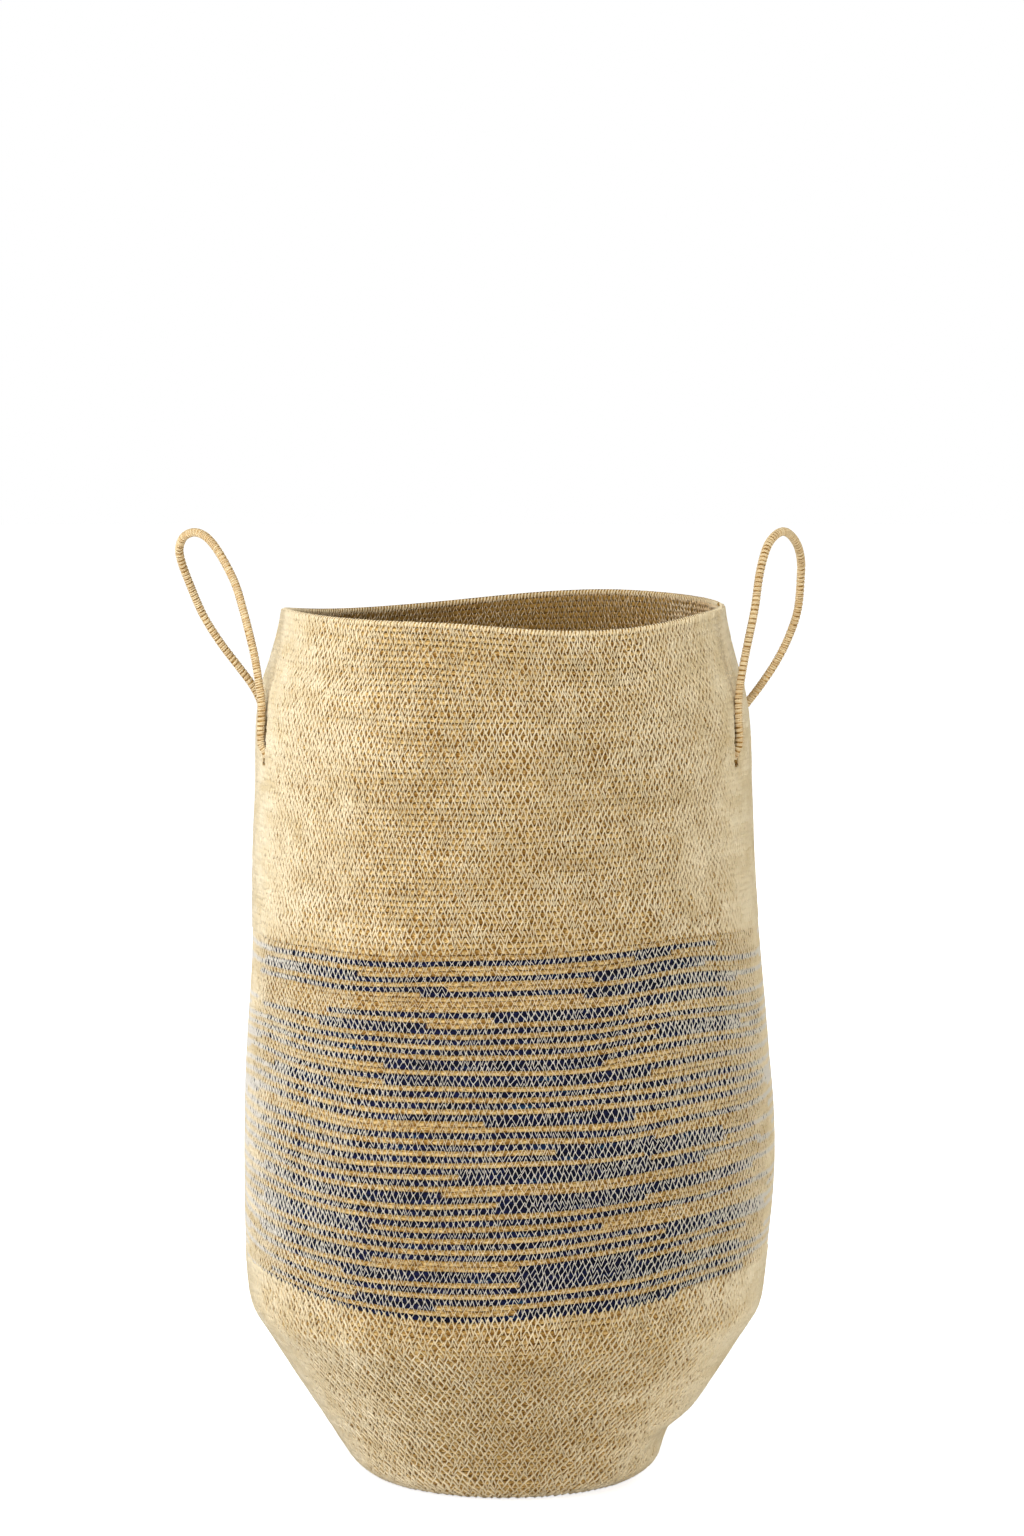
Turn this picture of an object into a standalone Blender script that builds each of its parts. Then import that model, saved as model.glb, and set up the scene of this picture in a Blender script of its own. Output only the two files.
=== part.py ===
"""Belly basket: a coiled floor basket with a wide banded belly and two standing rope handles.

The basket is sewn from one thin fibre cord, laid round and round and stitched row to row.  Its
flat base turns up into a steep taper, a soft shoulder, a tall belly with a coloured band, and a
neck that leans in to a wavy rim.  Each handle is a loop of thicker wrapped cord.  Both of its
ends go through a slit in the wall and lie sewn down on the inside.

Lengths are in metres.  The front of the basket faces -Y, the handles stand at -X and +X, and the
origin is the middle of the base on the floor.
"""

import math

import bmesh
import bpy
import numpy as np
from mathutils import Matrix, Vector

# The outline of the wall, as outer radius and height of its main stations
BASE_RADIUS = 0.0835
SHOULDER_RADIUS = 0.1682
SHOULDER_HEIGHT = 0.114
BELLY_RADIUS = 0.1755
BELLY_HEIGHT = 0.205
NECK_RADIUS = 0.1602
RIM_RADIUS = 0.1450
RIM_HEIGHT = 0.5785
NECK_DROP = 0.0635
NECK_HEIGHT = RIM_HEIGHT - NECK_DROP

# Outline between two stations: share of the rise, share of the change in radius
TAPER_SHARES = ((0.010, 0.059), (0.035, 0.124), (0.088, 0.210), (0.160, 0.277), (0.395, 0.478),
                (0.640, 0.690), (0.877, 0.895), (0.947, 0.959))
FLANK_SHARES = ((0.090, 0.300), (0.230, 0.520), (0.500, 0.790))
WAIST_SHARES = ((0.120, 0.035), (0.280, 0.230), (0.440, 0.450), (0.620, 0.640), (0.790, 0.825))
COLLAR_SHARES = ((0.200, 0.150), (0.400, 0.430), (0.620, 0.685), (0.840, 0.890))

# The coiled cord and the rows where the band starts and ends
CORD_ROW = 0.0035
WALL_THICKNESS = 0.0040
BAND_BOTTOM = 0.147
BAND_TOP = 0.366
CLEARANCE = 0.0003

# Handmade unevenness: how far the wall leans sideways, and where its rows dip and tilt
RIM_LEAN = -0.0016
BELLY_LEAN = 0.0026
BAND_SAG = 0.0125
BAND_SAG_ANGLE = math.radians(-100)
BAND_SAG_SPAN = math.radians(65)
BAND_TILT = 0.0040
BAND_TILT_ANGLE = math.radians(-40)
BACK_DIP = 0.0115
BACK_DIP_ANGLE = math.radians(127)
BACK_DIP_SPAN = math.radians(75)
FRONT_DIP = 0.0055
FRONT_DIP_ANGLE = math.radians(-66)
FRONT_DIP_SPAN = math.radians(45)

# A shallow press mark low on the right of the taper
FOLD_DEPTH = 0.0085
FOLD_ANGLE = math.radians(-15)
FOLD_SPAN = math.radians(36)
FOLD_HEIGHT = 0.029
FOLD_REACH = 0.022

# The last turn of cord runs out in a taper on the right of the rim
RIM_END_ANGLE = math.radians(6)
RIM_END_LENGTH = 0.070
RIM_END_SHARE = 0.30

# The wrapped handle cord, its slits a drop below the rim, and the tails sewn to the inner wall
HANDLE_CORD = 0.0065
SLIT_DROP = 0.0955
SLIT_HEIGHT = RIM_HEIGHT - SLIT_DROP
SLIT_CLEARANCE = 0.0004
SLIT_ABOVE = 0.0135
SLIT_BELOW = 0.0065
RIGHT_SPREAD = 0.060
LEFT_SPREAD = 0.048
HANDLE_RISE = 0.1432
RIGHT_REACH = 0.0488
LEFT_REACH = 0.0602
TAIL_LENGTH = 0.036
TAIL_END_SHARE = 0.55

# Route of each loop from its front slit over the top to its back slit, chosen by hand: share of
# the reach outwards, share of the half spread (negative is the front), share of the rise
RIGHT_LOOP_SHARES = (
    (0.00, -1.000, 0.000), (0.04, -1.000, 0.024), (0.08, -1.000, 0.055), (0.11, -1.000, 0.100),
    (0.11, -0.998, 0.195), (0.12, -0.983, 0.295), (0.15, -0.958, 0.410), (0.21, -0.917, 0.538),
    (0.29, -0.842, 0.674), (0.36, -0.690, 0.825), (0.46, -0.480, 0.935), (0.57, -0.280, 0.983),
    (0.70, -0.050, 1.000), (0.82, 0.200, 0.978), (0.93, 0.420, 0.925), (0.99, 0.580, 0.855),
    (1.00, 0.690, 0.775), (0.97, 0.810, 0.615), (0.86, 0.885, 0.488), (0.70, 0.935, 0.371),
    (0.50, 0.970, 0.263), (0.33, 0.990, 0.175), (0.19, 1.000, 0.100), (0.10, 1.000, 0.055),
    (0.04, 1.000, 0.024), (0.00, 1.000, 0.000))
LEFT_LOOP_SHARES = (
    (0.00, -1.000, 0.000), (0.03, -1.000, 0.024), (0.07, -1.000, 0.055), (0.09, -1.000, 0.100),
    (0.09, -1.000, 0.165), (0.09, -0.992, 0.250), (0.10, -0.975, 0.345), (0.13, -0.942, 0.449),
    (0.19, -0.892, 0.556), (0.26, -0.808, 0.665), (0.34, -0.690, 0.770), (0.45, -0.545, 0.860),
    (0.57, -0.375, 0.935), (0.69, -0.190, 0.982), (0.82, 0.010, 0.995), (0.94, 0.210, 0.970),
    (1.00, 0.390, 0.915), (0.98, 0.520, 0.855), (0.87, 0.650, 0.770), (0.71, 0.790, 0.578),
    (0.52, 0.875, 0.452), (0.36, 0.930, 0.358), (0.22, 0.968, 0.265), (0.14, 0.990, 0.190),
    (0.09, 1.000, 0.110), (0.06, 1.000, 0.055), (0.03, 1.000, 0.024), (0.00, 1.000, 0.000))

# How finely the forms are faceted, and where a round end or an edge turns
TURN_STEPS = 72
BAND_STEPS = 9
UPPER_STEPS = 10
RIM_STEPS = 6
ROUTE_STEPS = 46
KNOT_STEPS = 12
TAIL_STEPS = 7
SLIT_CORNER_STEPS = 4
END_TURNS = (math.radians(65), math.radians(35))
SHARP_TURN = math.radians(35)

# How round a slit's corners are, and how far a cut runs past its wall
SLIT_CORNER_SHARE = 0.48
OVERRUN = 0.012

# Natural fibre, the coloured band and the handles: colour, roughness
FINISHES = {
    "straw_cord": ((0.66, 0.50, 0.29), 0.85),
    "band_cord": ((0.20, 0.22, 0.36), 0.85),
    "handle_cord": ((0.60, 0.44, 0.24), 0.80),
}


def clear_scene():
    """Remove every object of the open file."""
    for item in list(bpy.data.objects):
        bpy.data.objects.remove(item, do_unlink=True)


def finish(name):
    """Principled material with the colour and roughness of one of the finishes."""
    if name in bpy.data.materials:
        return bpy.data.materials[name]
    colour, roughness = FINISHES[name]
    material = bpy.data.materials.new(name)
    material.use_nodes = True
    shader = material.node_tree.nodes["Principled BSDF"]
    shader.inputs["Base Color"].default_value = (*colour, 1)
    shader.inputs["Roughness"].default_value = roughness
    shader.inputs["Metallic"].default_value = 0
    return material


def stations(low, high, shares):
    """Points (height, radius) from one station up to the next, through its shares."""
    rise = high[0] - low[0]
    change = high[1] - low[1]
    return [low] + [(low[0] + rise * up, low[1] + change * out) for up, out in shares]


def outline():
    """Heights and outer radii of the wall from the floor to the rim, as two arrays."""
    base = (0, BASE_RADIUS)
    shoulder = (SHOULDER_HEIGHT, SHOULDER_RADIUS)
    belly = (BELLY_HEIGHT, BELLY_RADIUS)
    neck = (NECK_HEIGHT, NECK_RADIUS)
    rim = (RIM_HEIGHT, RIM_RADIUS)
    points = stations(base, shoulder, TAPER_SHARES)
    points += stations(shoulder, belly, FLANK_SHARES)
    points += stations(belly, neck, WAIST_SHARES)
    points += stations(neck, rim, COLLAR_SHARES)
    points.append(rim)
    return np.array(points).T


OUTLINE_HEIGHTS, OUTLINE_RADII = outline()


def radius_at(height):
    """Outer radius of the wall at a height, on a smooth curve through the outline."""
    slopes = np.gradient(OUTLINE_RADII, OUTLINE_HEIGHTS)
    last = len(OUTLINE_HEIGHTS) - 2
    i = min(max(int(np.searchsorted(OUTLINE_HEIGHTS, height)) - 1, 0), last)
    span = OUTLINE_HEIGHTS[i + 1] - OUTLINE_HEIGHTS[i]
    t = (height - OUTLINE_HEIGHTS[i]) / span
    if t > 1:
        return OUTLINE_RADII[-1] + slopes[-1] * (height - OUTLINE_HEIGHTS[-1])
    start = OUTLINE_RADII[i] * (1 + 2 * t) * (1 - t) ** 2 + slopes[i] * span * t * (1 - t) ** 2
    end = OUTLINE_RADII[i + 1] * t ** 2 * (3 - 2 * t) + slopes[i + 1] * span * t ** 2 * (t - 1)
    return start + end


def smooth(t):
    """Ease from 0 to 1 as t goes from 0 to 1."""
    t = min(max(t, 0), 1)
    return t * t * (3 - 2 * t)


def hump(value, centre, reach):
    """Height of a smooth hump of 1 that fades to 0 at its reach."""
    return 0.5 + 0.5 * math.cos(math.pi * min(abs(value - centre) / reach, 1))


def round_hump(angle, centre, reach):
    """The same hump round the wall, measured the short way."""
    away = (angle - centre + math.pi) % math.tau - math.pi
    return hump(away, 0, reach)


def lean_at(height):
    """Sideways offset of the wall's middle: out at the belly, the other way at the rim."""
    up = smooth((height - SHOULDER_HEIGHT) / (BELLY_HEIGHT - SHOULDER_HEIGHT))
    back = smooth((height - BELLY_HEIGHT) / (SLIT_HEIGHT - BELLY_HEIGHT))
    return BELLY_LEAN * up + (RIM_LEAN - BELLY_LEAN) * back


def row_height(angle, level):
    """Real height of the row that lies at a level on an even basket."""
    sag = BAND_SAG * round_hump(angle, BAND_SAG_ANGLE, BAND_SAG_SPAN)
    sag *= hump(level, BAND_BOTTOM, BAND_BOTTOM)
    tilt = BAND_TILT * math.cos(angle - BAND_TILT_ANGLE)
    tilt *= hump(level, BAND_TOP, BAND_TOP - BAND_BOTTOM)
    dip = BACK_DIP * round_hump(angle, BACK_DIP_ANGLE, BACK_DIP_SPAN)
    dip += FRONT_DIP * round_hump(angle, FRONT_DIP_ANGLE, FRONT_DIP_SPAN)
    dip *= smooth((level - SLIT_HEIGHT) / (RIM_HEIGHT - SLIT_HEIGHT))
    return level - sag + tilt - dip


def fold_at(angle, height):
    """How far the press mark pushes the wall in."""
    share = round_hump(angle, FOLD_ANGLE, FOLD_SPAN)
    return FOLD_DEPTH * share * hump(height, FOLD_HEIGHT, FOLD_REACH)


def wall_depth_point(angle, level, depth):
    """Point at a row, a depth inwards from the wall's outer face."""
    height = row_height(angle, level)
    radius = radius_at(height) - depth - fold_at(angle, height)
    x = lean_at(height) + radius * math.cos(angle)
    return Vector((x, radius * math.sin(angle), height))


def inward_normal(level):
    """Radial and vertical parts of the wall's inward normal at a level."""
    above = level + WALL_THICKNESS
    below = max(level - WALL_THICKNESS, 0)
    slope = (radius_at(above) - radius_at(below)) / (above - below)
    length = math.hypot(1, slope)
    return 1 / length, slope / length


def turned_ring(name, section, material, collection):
    """Turn a closed section of (radius, height) points round Z and return it as a mesh object."""
    mesh = bpy.data.meshes.new(name)
    outline_mesh = bmesh.new()
    corners = [outline_mesh.verts.new((radius, 0, height)) for radius, height in section]
    for here, following in zip(corners, corners[1:] + corners[:1]):
        outline_mesh.edges.new((here, following))
    outline_mesh.to_mesh(mesh)
    outline_mesh.free()
    ring = bpy.data.objects.new(name, mesh)
    collection.objects.link(ring)
    turn = ring.modifiers.new("turn", "SCREW")
    turn.steps = TURN_STEPS
    turn.render_steps = TURN_STEPS
    turn.use_merge_vertices = True
    turn.merge_threshold = CLEARANCE / 10
    bpy.context.view_layer.update()
    turned = bpy.data.meshes.new_from_object(ring.evaluated_get(bpy.context.evaluated_depsgraph_get()))
    ring.modifiers.clear()
    ring.data = turned
    turned.materials.append(material)
    return ring


def settle(ring, top_height=None):
    """Give a turned ring the basket's uneven rows, lean and press mark."""
    for vertex in ring.data.vertices:
        x, y, level = vertex.co
        angle = math.atan2(y, x)
        depth = radius_at(level) - math.hypot(x, y)
        if top_height is not None:
            level = top_height(angle, level)
        vertex.co = wall_depth_point(angle, level, depth)
    ring.data.update()


def wall_section(levels):
    """Closed section of the wall through levels from its top down, outer face, then inner face."""
    outer = [(radius_at(level), level) for level in levels]
    inner = []
    for radius, level in reversed(outer):
        inwards, upwards = inward_normal(level)
        inner.append((radius - WALL_THICKNESS * inwards, level + WALL_THICKNESS * upwards))
    return outer + inner


def round_off(item):
    """Shade the round faces smooth and keep the real edges sharp."""
    item.data.shade_smooth()
    item.data.set_sharp_from_angle(angle=SHARP_TURN)


def base_disc(collection):
    """Flat spiral base: a disc whose edge is mitred to the turned-up wall."""
    inwards, upwards = inward_normal(0)
    thickness = WALL_THICKNESS * upwards
    seam = CLEARANCE / upwards
    bottom_radius = BASE_RADIUS - seam
    top_radius = bottom_radius - WALL_THICKNESS * inwards
    shape = bmesh.new()
    bmesh.ops.create_cone(shape, cap_ends=True, segments=TURN_STEPS, radius1=bottom_radius,
                          radius2=top_radius, depth=thickness,
                          matrix=Matrix.Translation((0, 0, thickness / 2)))
    mesh = bpy.data.meshes.new("base_coil")
    shape.to_mesh(mesh)
    shape.free()
    mesh.materials.append(finish("straw_cord"))
    disc = bpy.data.objects.new("base_coil", mesh)
    collection.objects.link(disc)
    round_off(disc)
    return disc


def lower_wall(collection):
    """Natural rows of the steep taper, from the base edge to the band."""
    levels = [level for level in OUTLINE_HEIGHTS if level < BAND_BOTTOM - WALL_THICKNESS]
    levels.append(BAND_BOTTOM - CLEARANCE / 2)
    section = wall_section(levels[::-1])
    ring = turned_ring("lower_wall", section, finish("straw_cord"), collection)
    settle(ring)
    round_off(ring)
    return ring


def belly_band(collection):
    """Band of natural and coloured rows round the belly."""
    low = BAND_BOTTOM + CLEARANCE / 2
    section = wall_section(np.linspace(BAND_TOP - CLEARANCE / 2, low, BAND_STEPS + 1))
    ring = turned_ring("belly_band", section, finish("band_cord"), collection)
    settle(ring)
    round_off(ring)
    return ring


def upper_wall(collection):
    """Natural rows from the band to the last turn of cord."""
    high = RIM_HEIGHT - CORD_ROW - CLEARANCE / 2
    section = wall_section(np.linspace(high, BAND_TOP + CLEARANCE / 2, UPPER_STEPS + 1))
    ring = turned_ring("upper_wall", section, finish("straw_cord"), collection)
    settle(ring)
    return ring


def rim_coil(collection):
    """Last turn of cord round the mouth, rounded over and run out in a taper."""
    low = RIM_HEIGHT - CORD_ROW + CLEARANCE / 2
    half = WALL_THICKNESS / 2
    middle = RIM_RADIUS - half
    round_from = RIM_HEIGHT - half
    arc = np.linspace(math.pi, 0, RIM_STEPS + 1)
    over = [(middle + half * math.cos(a), round_from + half * math.sin(a)) for a in arc]
    section = [(middle + half, low), (middle - half, low)] + over
    ring = turned_ring("rim_coil", section, finish("straw_cord"), collection)

    def run_out(angle, level):
        behind = (RIM_END_ANGLE - angle) % math.tau * RIM_RADIUS
        share = RIM_END_SHARE + (1 - RIM_END_SHARE) * smooth(behind / RIM_END_LENGTH)
        return low + (level - low) * share

    settle(ring, run_out)
    round_off(ring)
    return ring


def face_x(spread, height, depth):
    """Distance from the middle plane to the wall, a depth in, at a half spread and a height."""
    radius = radius_at(height) - depth
    return math.sqrt(radius ** 2 - spread ** 2)


def slit_pivot(side, spread):
    """Distance along X of the hinge line, in the middle of the wall's thickness."""
    return lean_at(SLIT_HEIGHT) + side * face_x(spread, SLIT_HEIGHT, WALL_THICKNESS / 2)


def cut_slits(wall, collection):
    """Open the four slits that the handle cords pass through."""
    width = HANDLE_CORD + 2 * SLIT_CLEARANCE
    height = SLIT_ABOVE + SLIT_BELOW
    for side, spread in ((1, RIGHT_SPREAD), (-1, LEFT_SPREAD)):
        for way in (-1, 1):
            place = Vector((slit_pivot(side, spread), way * spread,
                            SLIT_HEIGHT + (SLIT_ABOVE - SLIT_BELOW) / 2))
            shape = bmesh.new()
            size = Matrix.Diagonal((2 * (WALL_THICKNESS + OVERRUN), width, height, 1))
            bmesh.ops.create_cube(shape, size=1, matrix=Matrix.Translation(place) @ size)
            along = [edge for edge in shape.edges
                     if abs((edge.verts[0].co - edge.verts[1].co).x) > WALL_THICKNESS]
            bmesh.ops.bevel(shape, geom=along, offset=width * SLIT_CORNER_SHARE,
                            segments=SLIT_CORNER_STEPS, profile=0.5, affect="EDGES")
            mesh = bpy.data.meshes.new("slit_cutter")
            shape.to_mesh(mesh)
            shape.free()
            cutter = bpy.data.objects.new("slit_cutter", mesh)
            cutter.hide_render = True
            cutter.display_type = "WIRE"
            collection.objects.link(cutter)
            cut = wall.modifiers.new("slit", "BOOLEAN")
            cut.operation = "DIFFERENCE"
            cut.solver = "EXACT"
            cut.object = cutter


def smooth_route(points, steps):
    """Evenly spaced points on a smooth curve through a route's own points."""
    knots = np.array(points)
    ends = np.vstack((2 * knots[0] - knots[1], knots, 2 * knots[-1] - knots[-2]))
    fine = []
    for i in range(1, len(ends) - 2):
        before, start, end, after = ends[i - 1:i + 3]
        for t in np.linspace(0, 1, KNOT_STEPS, endpoint=False):
            fine.append(0.5 * (2 * start + (end - before) * t
                               + (2 * before - 5 * start + 4 * end - after) * t ** 2
                               + (3 * start - before - 3 * end + after) * t ** 3))
    fine.append(knots[-1])
    fine = np.array(fine)
    lengths = np.concatenate(([0], np.cumsum(np.linalg.norm(np.diff(fine, axis=0), axis=1))))
    even = np.linspace(0, lengths[-1], steps)
    route = np.column_stack([np.interp(even, lengths, fine[:, axis]) for axis in range(3)])
    return route, lengths[-1]


def cord_object(name, points, radii, collection):
    """Round cord along a route, as a curve with a bevel and filled caps."""
    curve = bpy.data.curves.new(name, "CURVE")
    curve.dimensions = "3D"
    curve.resolution_u = 1
    curve.render_resolution_u = 0
    curve.bevel_depth = HANDLE_CORD / 2
    curve.bevel_resolution = 3
    curve.use_fill_caps = True
    line = curve.splines.new("POLY")
    line.points.add(len(points) - 1)
    for knot, place, radius in zip(line.points, points, radii):
        knot.co = (*place, 1)
        knot.radius = radius
    curve.materials.append(finish("handle_cord"))
    cord = bpy.data.objects.new(name, curve)
    collection.objects.link(cord)
    return cord


def handle_loop(name, side, spread, reach, shares, collection):
    """Standing loop of wrapped cord that turns about its two rounded ends in the slits."""
    pivot = Vector((slit_pivot(side, spread), 0, SLIT_HEIGHT))
    radius = HANDLE_CORD / 2
    route = []
    for out, along, up in shares:
        height = HANDLE_RISE * up
        away = reach * out
        level = SLIT_HEIGHT + height
        if SLIT_HEIGHT + SLIT_ABOVE < level < RIM_HEIGHT:
            wall = lean_at(level) + side * face_x(spread * along, level, 0)
            stand_off = (radius + 2 * CLEARANCE) / math.cos(spread / NECK_RADIUS)
            away = max(away, side * (wall - pivot.x) + stand_off)
        route.append((side * away, spread * along, height))
    points, length = smooth_route(route, ROUTE_STEPS)
    ends = []
    for here, inner in ((points[0], points[1]), (points[-1], points[-2])):
        outwards = (here - inner) / np.linalg.norm(here - inner)
        ends.append([here + outwards * radius * math.sin(turn) for turn in END_TURNS])
    end_shares = [math.cos(turn) for turn in END_TURNS]
    places = [*ends[0], *points, *reversed(ends[1])]
    radius_shares = end_shares + [1] * len(points) + end_shares[::-1]
    loop = cord_object(name, places, radius_shares, collection)
    loop.location = pivot
    print(name, "cord length", round(float(length), 4), "hinge at", [round(value, 5) for value in pivot])
    return loop


def handle_tail(name, side, way, spread, collection):
    """End of a handle cord, sewn flat down the inside of the wall below its slit."""
    radius = HANDLE_CORD / 2
    inset = WALL_THICKNESS + (radius + CLEARANCE) / math.cos(spread / NECK_RADIUS)
    points = []
    for drop in np.linspace(radius, radius + TAIL_LENGTH, TAIL_STEPS):
        height = SLIT_HEIGHT - drop
        points.append((lean_at(height) + side * face_x(spread, height, inset), way * spread, height))
    radii = np.interp(np.linspace(0, 1, len(points)), (0, 0.5, 1), (1, 1, TAIL_END_SHARE))
    return cord_object(name, points, radii, collection)


def build():
    """Build the whole basket in its own collection."""
    clear_scene()
    parts = bpy.data.collections.new("belly_basket")
    cutters = bpy.data.collections.new("cutters")
    for collection in (parts, cutters):
        bpy.context.scene.collection.children.link(collection)
    base_disc(parts)
    lower_wall(parts)
    belly_band(parts)
    wall = upper_wall(parts)
    cut_slits(wall, cutters)
    rim_coil(parts)
    handle_loop("right_handle_loop", 1, RIGHT_SPREAD, RIGHT_REACH, RIGHT_LOOP_SHARES, parts)
    handle_loop("left_handle_loop", -1, LEFT_SPREAD, LEFT_REACH, LEFT_LOOP_SHARES, parts)
    for side_name, side, spread in (("right", 1, RIGHT_SPREAD), ("left", -1, LEFT_SPREAD)):
        for way_name, way in (("front", -1), ("back", 1)):
            handle_tail(f"{side_name}_handle_{way_name}_tail", side, way, spread, parts)


build()
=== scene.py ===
import math

import bpy
import numpy as np
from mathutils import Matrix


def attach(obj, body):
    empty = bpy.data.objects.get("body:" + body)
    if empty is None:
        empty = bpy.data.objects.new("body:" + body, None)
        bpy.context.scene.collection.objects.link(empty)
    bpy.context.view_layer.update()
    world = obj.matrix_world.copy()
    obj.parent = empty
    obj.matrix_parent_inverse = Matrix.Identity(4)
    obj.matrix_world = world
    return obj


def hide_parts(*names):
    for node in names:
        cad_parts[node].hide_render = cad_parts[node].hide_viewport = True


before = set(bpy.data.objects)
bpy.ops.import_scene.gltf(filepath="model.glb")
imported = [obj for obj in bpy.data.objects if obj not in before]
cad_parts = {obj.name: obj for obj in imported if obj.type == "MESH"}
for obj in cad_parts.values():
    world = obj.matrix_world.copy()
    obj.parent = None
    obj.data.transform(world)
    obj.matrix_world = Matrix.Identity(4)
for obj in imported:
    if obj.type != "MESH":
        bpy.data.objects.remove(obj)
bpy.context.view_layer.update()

# The base. One natural fibre cord, about 4 mm thick, wound in a flat spiral from the middle and
# sewn turn to turn with pale zigzag thread on both faces. Its last turn climbs into the wall,
# so the wall's own form is worked out here too: the numbers are the part's, in metres.
BASE_RADIUS, NECK_RADIUS = 0.0835, 0.1602
SHOULDER_HEIGHT, SHOULDER_RISE, RIM_HEIGHT = 0.114, 0.091, 0.5785
BELLY_HEIGHT = SHOULDER_HEIGHT + SHOULDER_RISE
BAND_BOTTOM, BAND_TOP = 0.147, 0.366
WALL_THICKNESS = 0.004
SLIT_HEIGHT = RIM_HEIGHT - 0.0955
NECK_HEIGHT = RIM_HEIGHT - 0.0635
TURN = 2 * math.pi
FIRST_SEED = 11

# Where hands left the wall uneven, in metres, with places and reaches round it in degrees.
BAND_SAG, SAG_ANGLE, SAG_REACH = 0.0125, -100, 65
BAND_TILT, TILT_ANGLE = 0.0040, 40
RIM_DIPS = ((0.0115, 127, 75), (0.0055, -66, 45))
PRESS_DEPTH, PRESS_ANGLE, PRESS_REACH = 0.0085, -15, 36
PRESS_HEIGHT, PRESS_TALL = 0.029, 0.022
LEAN_RIGHT, LEAN_LEFT = 0.0026, 0.0042
HAND_WAVES, HAND_FADE = ((0.0004, 4, 31, 0), (0.0003, 9, -53, 1)), 0.06


def stations(low, high, shares):
    """Points (height, radius) from one station of the outline up to the next."""
    rise, change = high[0] - low[0], high[1] - low[1]
    return [low] + [(low[0] + rise * up, low[1] + change * out) for up, out in shares]


shoulder, belly = (SHOULDER_HEIGHT, 0.1682), (BELLY_HEIGHT, 0.1755)
neck, rim = (NECK_HEIGHT, NECK_RADIUS), (RIM_HEIGHT, 0.1450)
outline = stations((0, BASE_RADIUS), shoulder, (
    (0.010, 0.059), (0.035, 0.124), (0.088, 0.210), (0.160, 0.277), (0.395, 0.478),
    (0.640, 0.690), (0.877, 0.895), (0.947, 0.959)))
outline += stations(shoulder, belly, ((0.090, 0.300), (0.230, 0.520), (0.500, 0.790)))
outline += stations(belly, neck, ((0.120, 0.035), (0.280, 0.230), (0.440, 0.450),
                                  (0.620, 0.640), (0.790, 0.825)))
outline += stations(neck, rim, ((0.200, 0.150), (0.400, 0.430), (0.620, 0.685),
                                (0.840, 0.890)))
outline_heights, outline_radii = np.array(outline + [rim]).T


def ease(share):
    """Smooth step from 0 to 1."""
    share = np.clip(share, 0, 1)
    return share * share * (3 - 2 * share)


def hump(away, reach):
    """A hump of 1 in the middle that fades to 0 at its reach."""
    return 0.5 + 0.5 * np.cos(np.pi * np.minimum(np.abs(away) / reach, 1))


def round_hump(angle, centre, reach):
    """The same hump round the wall, in degrees."""
    away = (angle - math.radians(centre) + np.pi) % TURN - np.pi
    return hump(away, math.radians(reach))


def radius_at(height):
    """Radius of the wall's outer face at a height, on a smooth curve through the outline."""
    slopes = np.gradient(outline_radii, outline_heights)
    i = np.clip(np.searchsorted(outline_heights, height) - 1, 0, len(outline_heights) - 2)
    span = outline_heights[i + 1] - outline_heights[i]
    t = np.maximum((height - outline_heights[i]) / span, 0)
    start = outline_radii[i] * (1 + 2 * t) * (1 - t) ** 2 + slopes[i] * span * t * (1 - t) ** 2
    end = outline_radii[i + 1] * t ** 2 * (3 - 2 * t) + slopes[i + 1] * span * t ** 2 * (t - 1)
    past = outline_radii[-1] + slopes[-1] * (height - RIM_HEIGHT)
    return np.where(t > 1, past, start + end)


def lean_at(height):
    """How far the basket's middle stands to the right at a height."""
    lean = LEAN_RIGHT * ease((height - SHOULDER_HEIGHT) / SHOULDER_RISE)
    return lean - LEAN_LEFT * ease((height - BELLY_HEIGHT) / (SLIT_HEIGHT - BELLY_HEIGHT))


def waves(shapes, angle, climb):
    """Waves round the wall, each with its size, its number to a turn, its drift and its start."""
    return sum(size * np.sin(count * angle + drift * climb + start)
               for size, count, drift, start in shapes)


def wall_point(angle, level):
    """Point on the wall's outer face at an angle and at the level of an even basket."""
    sag = BAND_SAG * round_hump(angle, SAG_ANGLE, SAG_REACH)
    sag = sag * hump(level - BAND_BOTTOM, BAND_BOTTOM)
    tilt = BAND_TILT * np.cos(angle + math.radians(TILT_ANGLE))
    tilt = tilt * hump(level - BAND_TOP, BAND_TOP - BAND_BOTTOM)
    dip = sum(deep * round_hump(angle, centre, reach) for deep, centre, reach in RIM_DIPS)
    dip = dip * ease((level - SLIT_HEIGHT) / (RIM_HEIGHT - SLIT_HEIGHT))
    height = level - sag + tilt - dip
    press = PRESS_DEPTH * round_hump(angle, PRESS_ANGLE, PRESS_REACH)
    press = press * hump(height - PRESS_HEIGHT, PRESS_TALL)
    hand = waves(HAND_WAVES, angle, height) * ease(height / HAND_FADE)
    radius = radius_at(height) - press + hand
    return np.stack((lean_at(height) + radius * np.cos(angle), radius * np.sin(angle), height), -1)


def unit(vectors):
    """Vectors of length 1."""
    return vectors / np.linalg.norm(vectors, axis=-1, keepdims=True)


def wall_out(angle, level):
    """Direction that the wall's outer face looks in."""
    step = 0.0008
    level = np.maximum(level, step)
    across = wall_point(angle + step, level) - wall_point(angle - step, level)
    up = wall_point(angle, level + step) - wall_point(angle, level - step)
    return unit(np.cross(across, up))


def wander(seed, count, reach):
    """Slow random changes from -1 to 1 along a row, each about reach samples long."""
    knots = max(int(count / reach) + 2, 4)
    values = np.random.default_rng(seed).uniform(-1, 1, knots)
    place = np.linspace(0, knots - 1.001, count)
    i = place.astype(int)
    return values[i] + (values[i + 1] - values[i]) * ease(place - i)


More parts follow.
